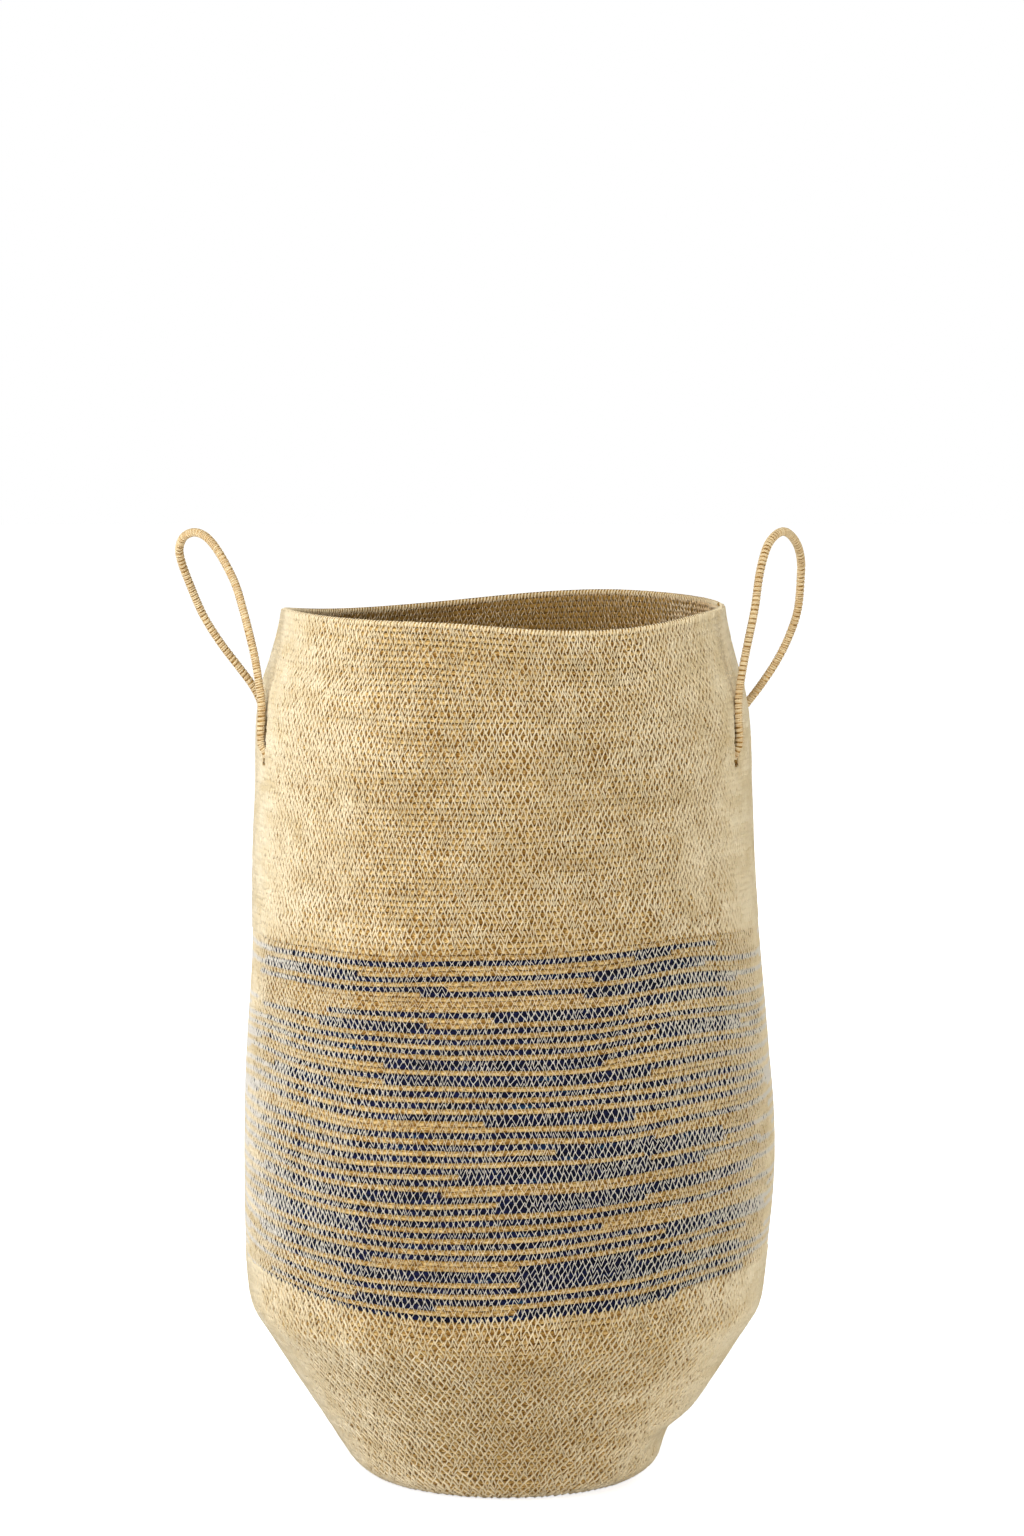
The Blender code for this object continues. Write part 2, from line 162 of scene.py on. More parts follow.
def hue(code):
    """A colour written as on a screen, in the numbers that a shader takes."""
    parts = [int(code[i:i + 2], 16) / 255 for i in (0, 2, 4)]
    return [c / 12.92 if c <= 0.04045 else ((c + 0.055) / 1.055) ** 2.4 for c in parts] + [1]


class Wire:
    """A socket of a node tree, so that sums of values read as sums."""

    def __init__(self, tree, socket):
        self.tree, self.socket = tree, socket

    def node(self, kind, settings, inputs, output=0):
        """Any node: its settings first, then values or wires for its sockets."""
        made = self.tree.nodes.new(kind)
        for name, value in settings.items():
            setattr(made, name, value)
        for key, value in inputs.items():
            if isinstance(value, Wire):
                self.tree.links.new(value.socket, made.inputs[key])
            else:
                made.inputs[key].default_value = value
        return Wire(self.tree, made.outputs[output])

    def maths(self, operation, first, second=0.0):
        """One sum of two values."""
        return self.node("ShaderNodeMath", {"operation": operation}, {0: first, 1: second})

    def __add__(self, other):
        return self.maths("ADD", self, other)

    def __sub__(self, other):
        return self.maths("SUBTRACT", self, other)

    def __mul__(self, other):
        return self.maths("MULTIPLY", self, other)

    def between(self, low, high):
        """A smooth step of this value, from 0 at low to 1 at high."""
        return self.node("ShaderNodeMapRange", {"interpolation_type": "SMOOTHSTEP"},
                         {0: self, 1: low, 2: high})

    def read(self, name, output="Fac"):
        """What the piece's own points say under a name."""
        return self.node("ShaderNodeAttribute", {"attribute_name": name}, {}, output)

    def blend(self, low, high):
        """Between two colours, by this value."""
        settings = {"data_type": "RGBA", "clamp_factor": True}
        return self.node("ShaderNodeMix", settings, {0: self, 6: low, 7: high}, 2)

    def grain(self, place, scale, detail=2.0):
        """Noise from 0 to 1 over a place."""
        return self.node("ShaderNodeTexNoise", {},
                         {"Vector": place, "Scale": scale, "Detail": detail})

    def fact(self, name, kind="FLOAT"):
        """What a line's own points say under a name, in a Geometry Nodes tree."""
        return self.node("GeometryNodeInputNamedAttribute", {"data_type": kind}, {"Name": name})

    def store(self, name, value):
        """This geometry, with a value kept on its points under a name."""
        return self.node("GeometryNodeStoreNamedAttribute",
                         {"data_type": "FLOAT", "domain": "POINT"},
                         {"Geometry": self, "Name": name, "Value": value})


def finish(name, roughness, fuzz=0.0):
    """A new matt material: its first wire and its shader, with a fuzz of loose fibres."""
    material = bpy.data.materials.new(name)
    material.use_nodes = True
    shader = material.node_tree.nodes["Principled BSDF"]
    shader.inputs["Roughness"].default_value = roughness
    shader.inputs["Specular IOR Level"].default_value = 0.08
    shader.inputs["Sheen Weight"].default_value = fuzz
    return material, Wire(material.node_tree, None), shader


def colour_and_bump(wire, shader, colour, height, distance):
    """Join a colour and a bump of a real depth to a shader."""
    bump = wire.node("ShaderNodeBump", {},
                     {"Height": height, "Distance": distance, "Strength": 0.8})
    wire.tree.links.new(colour.socket, shader.inputs["Base Color"])
    wire.tree.links.new(bump.socket, shader.inputs["Normal"])


# The last blue is painted shade, for the valleys between rows of blue cord.
BLUE_BLACK, NIGHT_BLUE, SEA_BLUE, BLUE_VALLEY_SHADE = "080a1a", "12173a", "1c4762", "06070e"


def fibre_cord(name, pale, dark, spot, valley_shade, inside_shade):
    """Dry plant fibre: streaks along the cord, slow changes of shade, some stretches dyed blue."""
    material, wire, shader = finish(name, 0.88, 0.03)
    run, around, valley = wire.read("run"), wire.read("around"), wire.read("valley")

    def streaks(along, across, detail=2.0, drift=0.0):
        """Noise with so many changes to a metre of cord, and so many round it."""
        place = {0: run * along, 1: around * across, 2: run * drift}
        return wire.grain(wire.node("ShaderNodeCombineXYZ", {}, place), 1.0, detail)

    fibres, patches = streaks(260, 30, 3.0, 9), streaks(45, 2)
    flecks, loose = streaks(310, 4, 1.0), streaks(320, 3)
    shade = wire.read("shade")
    natural = fibres.between(0.32, 0.68).blend(hue(dark), hue(pale))
    natural = (flecks + shade * 0.06).between(0.44, 0.58).blend(natural, hue(spot))
    # Painted shade: the cord's face towards the basket's inside turns to a darker colour.
    towards_inside = wire.maths("COSINE", around * TURN).between(0.2, -0.6)
    natural = towards_inside.blend(natural, hue(inside_shade))
    # Painted shade: the valleys where rows meet turn towards a dark shade colour, in patches set by
    # a noise.
    loose = (loose + shade * -0.08).between(0.40, 0.60)
    natural = (valley.between(0.50, 0.90) * loose).blend(natural, hue(valley_shade))
    dyed = patches.between(0.40, 0.60).blend(hue(BLUE_BLACK), hue(NIGHT_BLUE))
    dyed = patches.between(0.64, 0.72).blend(dyed, hue(SEA_BLUE))
    # Painted shade in the valleys of blue cord too.
    dyed = valley.between(0.5, 1.0).blend(dyed, hue(BLUE_VALLEY_SHADE))
    colour = (wire.read("dye") + fibres * 0.5 - 0.25).between(0.40, 0.60).blend(natural, dyed)
    colour_and_bump(wire, shader, colour, fibres, 0.0004)
    return material


def sewing_thread(name, pale, dark, stained):
    """Smooth twisted thread, greyer where it is sewn through blue cord."""
    material, wire, shader = finish(name, 0.80, 0.15)
    place = wire.node("ShaderNodeTexCoord", {}, {}, "Object")
    twist = wire.grain(place, 2600.0, 1.0)
    light = (wire.read("shade") * 0.5 + twist * 0.4 + 0.3).between(0.0, 1.0)
    colour = light.blend(hue(dark), hue(pale))
    first = wire.read("dye_from")
    stain = first + (wire.read("dye_to") - first) * wire.read("end")
    colour = stain.between(0.3, 0.7).blend(colour, hue(stained))
    colour_and_bump(wire, shader, colour, twist, 0.0002)
    return material


def into_scene(name, data):
    """A new object in the scene."""
    made = bpy.data.objects.new(name, data)
    bpy.context.scene.collection.objects.link(made)
    return made


def nodes_piece(name, points, lines, facts, tree, sizes):
    """An object of points or lines that a tree turns into a plain mesh."""
    mesh = bpy.data.meshes.new(name)
    mesh.from_pydata(points.tolist(), lines, [])
    for fact, values in facts.items():
        values = np.asarray(values, float)
        kind = "FLOAT_VECTOR" if values.ndim == 2 else "FLOAT"
        layer = mesh.attributes.new(fact, kind, "POINT")
        layer.data.foreach_set("vector" if values.ndim == 2 else "value", values.ravel())
    piece = into_scene(name, mesh)
    grow = piece.modifiers.new("grow", "NODES")
    grow.node_group = tree
    for item in tree.interface.items_tree:
        if item.name in sizes:
            grow[item.identifier] = sizes[item.name]
    graph = bpy.context.evaluated_depsgraph_get()
    plain = bpy.data.meshes.new_from_object(piece.evaluated_get(graph),
                                            preserve_all_data_layers=True, depsgraph=graph)
    piece.modifiers.clear()
    piece.data = plain
    plain.name = name
    return piece


def new_tree(name, inputs):
    """A Geometry Nodes tree with named inputs, and wires to them."""
    tree = bpy.data.node_groups.new(name, "GeometryNodeTree")
    tree.interface.new_socket("Geometry", in_out="INPUT", socket_type="NodeSocketGeometry")
    for label, kind in inputs.items():
        tree.interface.new_socket(label, in_out="INPUT", socket_type=f"NodeSocket{kind}")
    tree.interface.new_socket("Geometry", in_out="OUTPUT", socket_type="NodeSocketGeometry")
    entry = tree.nodes.new("NodeGroupInput")
    return tree, {socket.name: Wire(tree, socket) for socket in entry.outputs if socket.name}


def close_tree(tree, wire, material):
    """End a tree: smooth faces, real geometry, its material."""
    wire = wire.node("GeometryNodeSetShadeSmooth", {}, {"Geometry": wire})
    wire = wire.node("GeometryNodeRealizeInstances", {}, {"Geometry": wire})
    wire = wire.node("GeometryNodeSetMaterial", {}, {"Geometry": wire, "Material": material})
    tree.links.new(wire.socket, tree.nodes.new("NodeGroupOutput").inputs[0])


ROW_PRESS = 0.555


def laid_cord_tree():
    """Cord laid along a line, a little more than half a row up and down to press on the next."""
    tree, given = new_tree("laid_cord", {"Through wall": "Float", "Row height": "Float",
                                         "Sides": "Int", "Material": "Material"})
    start = given["Geometry"]
    line = start.node("GeometryNodeMeshToCurve", {}, {"Mesh": start})
    line = start.node("GeometryNodeSetCurveNormal", {"mode": "FREE"},
                      {"Curve": line, "Normal": start.fact("out", "FLOAT_VECTOR")})
    ring = start.node("GeometryNodeCurvePrimitiveCircle", {"mode": "RADIUS"},
                      {"Resolution": given["Sides"], "Radius": 1.0})
    ring = ring.store("around", start.node("GeometryNodeSplineParameter", {}, {}, "Factor"))
    place = start.node("GeometryNodeInputPosition", {}, {})
    beside = start.node("ShaderNodeSeparateXYZ", {}, {0: place}, "Y")
    ring = ring.store("valley", start.maths("ABSOLUTE", beside))
    size = start.node("ShaderNodeCombineXYZ", {},
                      {0: given["Through wall"], 1: given["Row height"] * ROW_PRESS, 2: 1.0})
    ring = start.node("GeometryNodeTransform", {}, {"Geometry": ring, "Scale": size})
    tube = start.node("GeometryNodeCurveToMesh", {}, {
        "Curve": line, "Profile Curve": ring, "Scale": start.fact("girth"), "Fill Caps": True})
    close_tree(tree, tube, given["Material"])
    return tree


LEG_BLUNT, LEG_WIDE, LEG_DEEP = 1.55, 0.56, 0.32
THINNEST, THICKEST, THREAD_SEED = 0.86, 1.14, 1


def stitch_tree():
    """Legs of zigzag thread: a spindle with blunt ends on each point, turned along its leg."""
    tree, given = new_tree("zigzag_legs", {"Thread": "Float", "Sides": "Int", "Rings": "Int",
                                           "Material": "Material"})
    start = given["Geometry"]
    leg = start.node("GeometryNodeMeshUVSphere", {},
                     {"Segments": given["Sides"], "Rings": given["Rings"], "Radius": 1.0})
    place = start.node("GeometryNodeInputPosition", {}, {})
    parts = [start.node("ShaderNodeSeparateXYZ", {}, {0: place}, axis) for axis in "XYZ"]
    capped = start.maths("MINIMUM", parts[2] * LEG_BLUNT, 1.0)
    parts[2] = start.maths("MAXIMUM", capped, -1.0)
    place = start.node("ShaderNodeCombineXYZ", {}, dict(enumerate(parts)))
    leg = start.node("GeometryNodeSetPosition", {}, {"Geometry": leg, "Position": place})
    moved = start.node("GeometryNodeInputPosition", {}, {})
    end = start.node("ShaderNodeSeparateXYZ", {}, {0: moved}, "Z")
    leg = leg.store("end", end * 0.5 + 0.5)
    align = "FunctionNodeAlignRotationToVector"
    turned = start.node(align, {"axis": "Z"}, {"Vector": start.fact("along", "FLOAT_VECTOR")})
    turned = start.node(align, {"axis": "X", "pivot_axis": "Z"},
                        {"Rotation": turned, "Vector": start.fact("out", "FLOAT_VECTOR")})
    chance = start.node("FunctionNodeRandomValue", {"data_type": "FLOAT"},
                        {2: THINNEST, 3: THICKEST, "Seed": THREAD_SEED}, 1)
    thick = given["Thread"] * start.fact("girth") * chance
    size = start.node("ShaderNodeCombineXYZ", {}, {
        0: thick * LEG_WIDE, 1: thick * LEG_DEEP, 2: start.fact("reach") * 0.5})
    legs = start.node("GeometryNodeInstanceOnPoints", {},
                      {"Points": start, "Instance": leg, "Rotation": turned, "Scale": size})
    close_tree(tree, legs, given["Material"])
    return tree


def read_points(mesh, name):
    """A named value of every point of a mesh."""
    values = np.empty(len(mesh.vertices))
    mesh.attributes[name].data.foreach_get("value", values)
    return values


def write_map(mesh, across, up):
    """Keep a flat map of the piece, for its baked colours."""
    layer = mesh.uv_layers.get("OFBake") or mesh.uv_layers.new(name="OFBake")
    layer.data.foreach_set("uv", np.clip(np.stack((across, up), -1), 0, 1).ravel())


def corner_facts(mesh):
    """The point of every face corner, and where each face's corners start and how many it has."""
    corners = np.empty(len(mesh.loops), int)
    mesh.loops.foreach_get("vertex_index", corners)
    starts, counts = np.empty(len(mesh.polygons), int), np.empty(len(mesh.polygons), int)
    mesh.polygons.foreach_get("loop_start", starts)
    mesh.polygons.foreach_get("loop_total", counts)
    return corners, starts, counts


def map_cord(piece, rows):
    """Map a wound cord row above row, its length across."""
    mesh = piece.data
    corners, starts, counts = corner_facts(mesh)
    turn, around = read_points(mesh, "turn")[corners], read_points(mesh, "around")[corners]
    row = np.repeat(np.floor(np.minimum.reduceat(turn, starts) + 1e-5), counts)
    first = row.min()
    low, high = np.minimum.reduceat(around, starts), np.maximum.reduceat(around, starts)
    split = np.repeat(high - low > 0.5, counts)
    around = np.where(split & (around < 0.5), around + 1, around)
    write_map(mesh, turn - row, (row - first + around * 0.98) / rows)


def chain(count, gaps=()):
    """Lines that join points in order, apart from the gaps after some of them."""
    gaps = set(gaps)
    return [(i, i + 1) for i in range(count - 1) if i not in gaps]


ROW_COUNTS = (42, 66, 58)
STITCHES = (0.00485, 0.00465, 0.0039)
row_marks = np.concatenate(([0], np.cumsum(ROW_COUNTS)))
ROWS = int(row_marks[-1])
levels = np.linspace(0, RIM_HEIGHT, 2400)
lengths = np.concatenate(([0], np.cumsum(np.hypot(np.diff(levels), np.diff(radius_at(levels))))))
length_marks = np.interp((0, BAND_BOTTOM, BAND_TOP, RIM_HEIGHT), levels, lengths)
RIM_END = math.radians(6)
RIM_TAPER, LEVEL_TURNS = 0.077, 24
ROW_WAVE, WAVE_FADE = 0.10, 6
ROW_WAVES = ((1.0, 5, 0.35, 0), (0.7, 11, -0.23, 2))


def level_at(row):
    """Level of a row that may lie between two whole rows."""
    return np.interp(np.interp(row, row_marks, length_marks), lengths, levels)


# Where rows ride up or down: middle and reach in degrees, middle and reach in rows above the
# band's foot, and how far up in rows.
ROW_SWAYS = (
    (-145, 55, 10, 16, -1.6), (-130, 42, 26, 15, -1.3), (-160, 40, 42, 18, 1.9),
    (-68, 22, 32, 6, -0.9), (-48, 30, 48, 16, 1.2), (-50, 22, 62, 9, 0.8),
    (-10, 34, 60, 14, -1.6), (-120, 32, 64, 10, -0.7), (-80, 110, -1, 9, -0.6),
    (-58, 22, 0, 7, -0.6), (60, 45, 20, 14, 1.1), (120, 50, 45, 16, -1.2),
    (170, 40, 12, 14, 0.9), (30, 40, 38, 14, -0.9), (90, 50, 74, 14, 0.9), (150, 40, 66, 14, 1.0))


def swayed_level(angle, row):
    """Level of a row at an angle, where the maker let rows ride up or down by about a row."""
    above = row - row_marks[1]
    sway = sum(up * round_hump(angle, centre, reach) * hump(above - middle, tall)
               for centre, reach, middle, tall, up in ROW_SWAYS)
    return level_at(row + sway)


def angle_at(turn):
    """Angle round the wall at a turn of the cord, so that it ends where the real one does."""
    return TURN * turn + RIM_END


def row_at(turn):
    """Row of the cord's middle at a turn: a spiral that levels out towards the rim."""
    whole = np.minimum(np.floor(turn), ROWS - 2)
    climb = ease((turn - whole - 1 + RIM_TAPER) / RIM_TAPER)
    stepped = whole + 1 + climb * (turn < ROWS - 1 - RIM_TAPER)
    flat = ease((turn - (ROWS - 1 - LEVEL_TURNS)) / LEVEL_TURNS)
    angle = angle_at(turn)
    wave = waves(ROW_WAVES, angle, turn)
    wave = wave * ease((ROWS - 2 - turn) / WAVE_FADE) * ease(turn / WAVE_FADE)
    return turn + 0.5 + flat * (stepped - turn) + ROW_WAVE * wave


def cord_place(turn):
    """Middle of the laid cord at a turn, the way out of the wall, and its row's real height."""
    angle = angle_at(turn)
    row = row_at(turn)
    above = wall_point(angle, swayed_level(angle, np.minimum(row + 0.5, ROWS)))
    below = wall_point(angle, swayed_level(angle, np.maximum(row - 0.5, 0)))
    level = swayed_level(angle, row)
    out = wall_out(angle, level)
    place = wall_point(angle, level) - out * WALL_THICKNESS / 2
    return place, out, np.linalg.norm(above - below, axis=-1)


laid_cord = laid_cord_tree()
zigzag_legs = stitch_tree()
# Natural cord: the last two colours are painted shade, for the valleys between rows and for the
# face towards the inside.
straw = fibre_cord("natural_cord", pale="e4ca90", dark="caa464", spot="86602a", valley_shade="4a2e0e",
                   inside_shade="ac8644")
pale_thread = sewing_thread("cream_thread", pale="f4e4c0", dark="dcc698", stained="e4dccc")

BASE_TURNS, BASE_PITCH = 21.3, 0.00385
BASE_MIDDLE, BASE_TOP = 0.0021, 0.0042
EYE_TURN, EVEN_TURN, EYE_SAMPLES, BASE_SAMPLES = 0.3, 3, 60, 90
wall_start, _, _ = cord_place(np.array([0.0]))
start_radius = float(np.hypot(*wall_start[0, :2]))


def base_place(turn, outwards=0.0):
    """X and Y on the base's spiral at a turn, or further out than its middle."""
    angle = angle_at(turn - BASE_TURNS)
    radius = start_radius - BASE_PITCH * (BASE_TURNS - turn) + outwards
    return radius * np.cos(angle), radius * np.sin(angle)


def on_basket(piece):
    """The piece is a part of the basket itself."""
    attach(piece, "basket")


base_turn = np.concatenate((np.linspace(EYE_TURN, EVEN_TURN, EYE_SAMPLES),
                            np.arange(EVEN_TURN, BASE_TURNS, 1 / BASE_SAMPLES)[1:],
                            [BASE_TURNS]))
base_rise = BASE_MIDDLE + (wall_start[0, 2] - BASE_MIDDLE) * ease(base_turn - BASE_TURNS + 1)
base_line = np.stack((*base_place(base_turn), base_rise), -1)
base_facts = {
    "out": np.tile((0.0, 0.0, -1.0), (len(base_turn), 1)), "girth": np.ones(len(base_turn)),
    "turn": base_turn, "run": np.pi * BASE_PITCH * base_turn ** 2,
    "dye": np.zeros(len(base_turn)), "shade": wander(FIRST_SEED, len(base_turn), 40)}
base_coil = nodes_piece(
    "base_coil_cord", base_line, chain(len(base_line)), base_facts, laid_cord,
    {"Through wall": 0.0017, "Row height": BASE_PITCH, "Sides": 8, "Material": straw})
map_cord(base_coil, math.ceil(BASE_TURNS))
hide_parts("base_coil")
on_basket(base_coil)

LEG_OVERLAP = 1.10
FIRST_STITCH, BASE_SEWN_DEEP = 0.012, 0.0009


def sew(name, low, high, out, depth, girth, facts, rings, material, thread=0.0014):
    """Zigzag legs from low points to high points, sunk a depth into the wall."""
    along = high - low
    reach = np.linalg.norm(along, axis=-1)
    place = (low + high) / 2 - out * depth
    facts = {"along": along / reach[:, None], "out": out, "reach": reach * LEG_OVERLAP,
             "girth": girth, **facts}
    return nodes_piece(name, place, [], facts, zigzag_legs,
                       {"Thread": thread, "Sides": 3, "Rings": rings, "Material": material})


sewn_run = np.arange(FIRST_STITCH, np.pi * BASE_PITCH * (BASE_TURNS - 1) ** 2, STITCHES[0] / 2)
sewn_turn = np.sqrt(sewn_run / (np.pi * BASE_PITCH))
odd = np.arange(len(sewn_turn)) % 2
apexes = np.stack((*base_place(sewn_turn, BASE_PITCH * odd), 0 * sewn_turn), -1)
leg_count = len(apexes) - 1
leg_facts = {**dict.fromkeys(("dye_from", "dye_to"), np.zeros(leg_count)),
             "shade": wander(FIRST_SEED + 1, leg_count, 9)}
for side, height, way in (("floor", BASE_TOP, 1.0), ("under", 0.0, -1.0)):
    lift = np.array((0.0, 0.0, height))
    seam = sew(f"base_coil_thread_{side}", apexes[:-1] + lift, apexes[1:] + lift,
               np.tile((0.0, 0.0, way), (leg_count, 1)), BASE_SEWN_DEEP, np.ones(leg_count),
               leg_facts, 3, pale_thread)
    x, y = np.array([seam.data.vertices[i].co[:2] for i in corner_facts(seam.data)[0]]).T
    write_map(seam.data, x / (2 * start_radius) + 0.5, y / (2 * start_radius) + 0.5)
    on_basket(seam)

# The lower wall. The same cord, wound on upwards in a steep taper and a soft shoulder. Each row
# is held to the one below by a zigzag of pale thread that runs from mid row to mid row, on the
# outside and on the inside.
SLIT_HALF_WIDTH, SLIT_FOOT, SLIT_POINT = 0.0035, 0.0035, 0.020
SLIT_LOW, SLIT_TOP = SLIT_HEIGHT - 0.0056, SLIT_HEIGHT + 0.0300
HANDLE_SPREADS = {1: 0.060, -1: 0.048}
ROW_HEIGHT, HALF_THICK, CORD_SAMPLES, CORD_END = 0.0036, 0.0013, 144, 0.25


def slit_half_width(height):
    """Half width of the slits at a height: a round foot, and a top drawn to a point."""
    foot = 1 - np.clip((height - SLIT_LOW) / SLIT_FOOT, 0, 1)
    point = np.clip((SLIT_TOP - height) / SLIT_POINT, 0, 1)
    return SLIT_HALF_WIDTH * np.sqrt((1 - foot ** 2) * point)


def patchy(seed, angle, row, wide, tall):
    """Slow random changes from -1 to 1 over the wall: so many to a turn, each some rows tall."""
    knots = np.random.default_rng(seed).uniform(-1, 1, (int(ROWS / tall) + 3, wide))
    across, up = angle / TURN % 1 * wide, np.clip(row / tall, 0, None)
    i, j = across.astype(int) % wide, up.astype(int)
    s, t = ease(across - across.astype(int)), ease(up - j)
    below = knots[j, i] * (1 - s) + knots[j, (i + 1) % wide] * s
    above = knots[j + 1, i] * (1 - s) + knots[j + 1, (i + 1) % wide] * s
    return below * (1 - t) + above * t


def length_along(line):
    """Length along a line, at each of its points."""
    return np.concatenate(([0], np.cumsum(np.linalg.norm(np.diff(line, axis=0), axis=1))))


def run_out(turn, place, out, height):
    """The cord's last stretch at the rim: its lowered size and raised line, and the way up."""
    share = CORD_END + (1 - CORD_END) * ease((ROWS - 1 - turn) / RIM_TAPER)
    up = unit(np.cross(out, np.gradient(place, axis=0)))
    up = up * np.sign(up[:, 2:])
    return share, place + up * (height * (1 - share) / 2)[:, None], up


def wind(name, first, last, dye, cuts=(), taper=False):
    """Cord wound from one turn to another, with gaps where slits cut it."""
    turn = np.arange(first * CORD_SAMPLES, last * CORD_SAMPLES + 1) / CORD_SAMPLES
    for start, end in cuts:
        turn = turn[(turn < start) | (turn > end)]
    marks = np.array([start for start, _ in cuts])
    turn = np.sort(np.concatenate((turn, marks, [end for _, end in cuts])))
    gaps = np.searchsorted(turn, marks)
    place, out, height = cord_place(turn)
    run = length_along(place)
    girth = height / ROW_HEIGHT
    if taper:
        share, place, _ = run_out(turn, place, out, height)
        girth = girth * share
    facts = {"out": out, "girth": girth, "turn": turn, "run": run, "dye": dye(turn),
             "shade": patchy(FIRST_SEED + 9, angle_at(turn), turn, 16, 1.0)}
    piece = nodes_piece(
        name, place, chain(len(turn), gaps), facts, laid_cord,
        {"Through wall": HALF_THICK, "Row height": ROW_HEIGHT, "Sides": 8, "Material": straw})
    map_cord(piece, math.ceil(last - first) + 1)
    return piece


def undyed(turn):
    """Natural cord all along."""
    return np.zeros(len(turn))


HOLE_SAMPLES, GOLDEN_SHARE = 1500, 0.618034
CHANGE_START, CHANGE_TURNS, MOST_CHANGES = 0.3, 0.03, 4


def needle_holes():
    """Turns of the needle's holes.

    The zigzags of two rows meet point to point, because each hole lies an odd number of holes
    after the one below it. A stitch is added or dropped where the wall's girth asks.
    """
    turn = np.arange((ROWS - 1) * HOLE_SAMPLES + 1) / HOLE_SAMPLES
    first = int(TURN * BASE_RADIUS / STITCHES[0])
    ahead = np.full(len(turn), 2.0 * first + 1)
    added = 0
    for row in range(ROWS - 1):
        part = int(np.searchsorted(row_marks, row, "right")) - 1
        wanted = int(TURN * float(radius_at(level_at(row + 0.5))) / STITCHES[part]) - first
        way = 1 if wanted > added else -1
        for _ in range(min(abs(wanted - added), MOST_CHANGES)):
            place = row + (CHANGE_START + GOLDEN_SHARE * min(added, added + way)) % 1
            ahead += 2 * way * ease((turn - place) / CHANGE_TURNS + 0.5)
            added += way
    holes = ahead[0] * turn
    for start in range(1 + HOLE_SAMPLES, len(turn) - 1, HOLE_SAMPLES):
        back = slice(start - HOLE_SAMPLES, start)
        holes[start:start + HOLE_SAMPLES] = holes[back] + ahead[back]
    holes = np.interp(np.arange(int(holes[-1]) + 1), holes, turn)
    slow = wander(FIRST_SEED + 2, len(holes), 12)
    quick = wander(FIRST_SEED + 3, len(holes), 1.2)
    return holes + (0.50 * slow + 0.50 * quick) * np.gradient(holes)


needle_turns = needle_holes()
# Painted light: the same cream thread as outside, in a copy whose pale and dark colours are lighter
# and warmer, for the bounced light inside the basket; its stain colour is darker.
inside_painted_light_thread = sewing_thread("inside_painted_light_thread", pale="fce8c0", dark="e6c694", stained="d4cdb8")
SEWN_DEEP, UNEVEN_STITCH = 0.0003, 0.18
SLIT_HEM, LEG_RISE = 0.0004, 0.0016
INSIDE_THREAD = 0.0010


def map_round(piece):
    """Map a round piece: its angle across, its height and reach up."""
    mesh = piece.data
    corners, starts, counts = corner_facts(mesh)
    places = np.empty(len(mesh.vertices) * 3)
    mesh.vertices.foreach_get("co", places)
    x, y, z = places.reshape(-1, 3)[corners].T
    across = np.arctan2(y, x) / TURN + 0.5
    low, high = np.minimum.reduceat(across, starts), np.maximum.reduceat(across, starts)
    split = np.repeat(high - low > 0.5, counts)
    across = np.where(split & (across < 0.5), across + 1, across)
    up = z + np.hypot(x, y)
    write_map(mesh, across, (up - up.min()) / (up.max() - up.min()))


def stitches(name, first, last, dye, inside=False, thread=0.0018, overlap=0.27):
    """The zigzag between the rows of some turns, outside or inside the wall."""
    pick = np.flatnonzero((needle_turns >= first) & (needle_turns < last))
    turn, upper = needle_turns[pick], pick % 2
    step = row_at(turn + 1) - row_at(turn)
    row = row_at(turn) + step * (upper * (1 + 2 * overlap) - overlap)
    row = row + UNEVEN_STITCH * wander(FIRST_SEED + 4, len(needle_turns), 1.2)[pick]
    angle = angle_at(turn)
    level = swayed_level(angle, row)
    apex, out = wall_point(angle, level), wall_out(angle, level)
    if inside:
        apex, out = apex - out * WALL_THICKNESS, -out
    way_out = unit(out[:-1] + out[1:])
    centre = (apex[:-1] + apex[1:]) / 2
    keep = np.ones(len(centre), bool)
    for side, spread in HANDLE_SPREADS.items():
        off = np.abs(np.abs(centre[:, 1]) - spread)
        half = np.maximum(slit_half_width(centre[:, 2]), slit_half_width(centre[:, 2] + LEG_RISE))
        keep &= (half == 0) | (off > half + SLIT_HEM) | (centre[:, 0] * side < 0)
    blue = dye(turn + upper)
    patch = patchy(FIRST_SEED + 5, angle, row, 20, 1.3)[:-1][keep]
    fine = patchy(FIRST_SEED + 6, angle, row, 90, 1.3)[:-1][keep]
    facts = {"dye_from": blue[:-1][keep], "dye_to": blue[1:][keep],
             "shade": 0.5 * patch + 0.6 * fine}
    girth = 1 + 0.08 * patch + 0.10 * fine
    piece = sew(name, apex[:-1][keep], apex[1:][keep], way_out[keep], SEWN_DEEP, girth, facts,
                2 if inside else 3, inside_painted_light_thread if inside else pale_thread, thread)
    map_round(piece)
    return piece


band_start, band_end = row_marks[1:3]
lower_rows = wind("lower_wall_cord", 0, band_start, undyed)
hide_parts("lower_wall")
on_basket(lower_rows)
on_basket(stitches("lower_wall_thread", 0, band_start, undyed, thread=0.0019))
on_basket(stitches("lower_wall_thread_inside", 0, band_start, undyed, True, INSIDE_THREAD))

# The belly band. Natural cord and space-dyed blue cord, wound together so that their rows
# alternate. The blue fades out here and there, and in places two blue rows lie together.
BAND_SEED = 40
BLUE_KNOTS, KNOTS_PER_TURN = 34, 22
FRONT_MIDDLE, FRONT_REACH, FRONT_FADE, STRETCH_FADE = -90, (68, 96), 3, 1.6
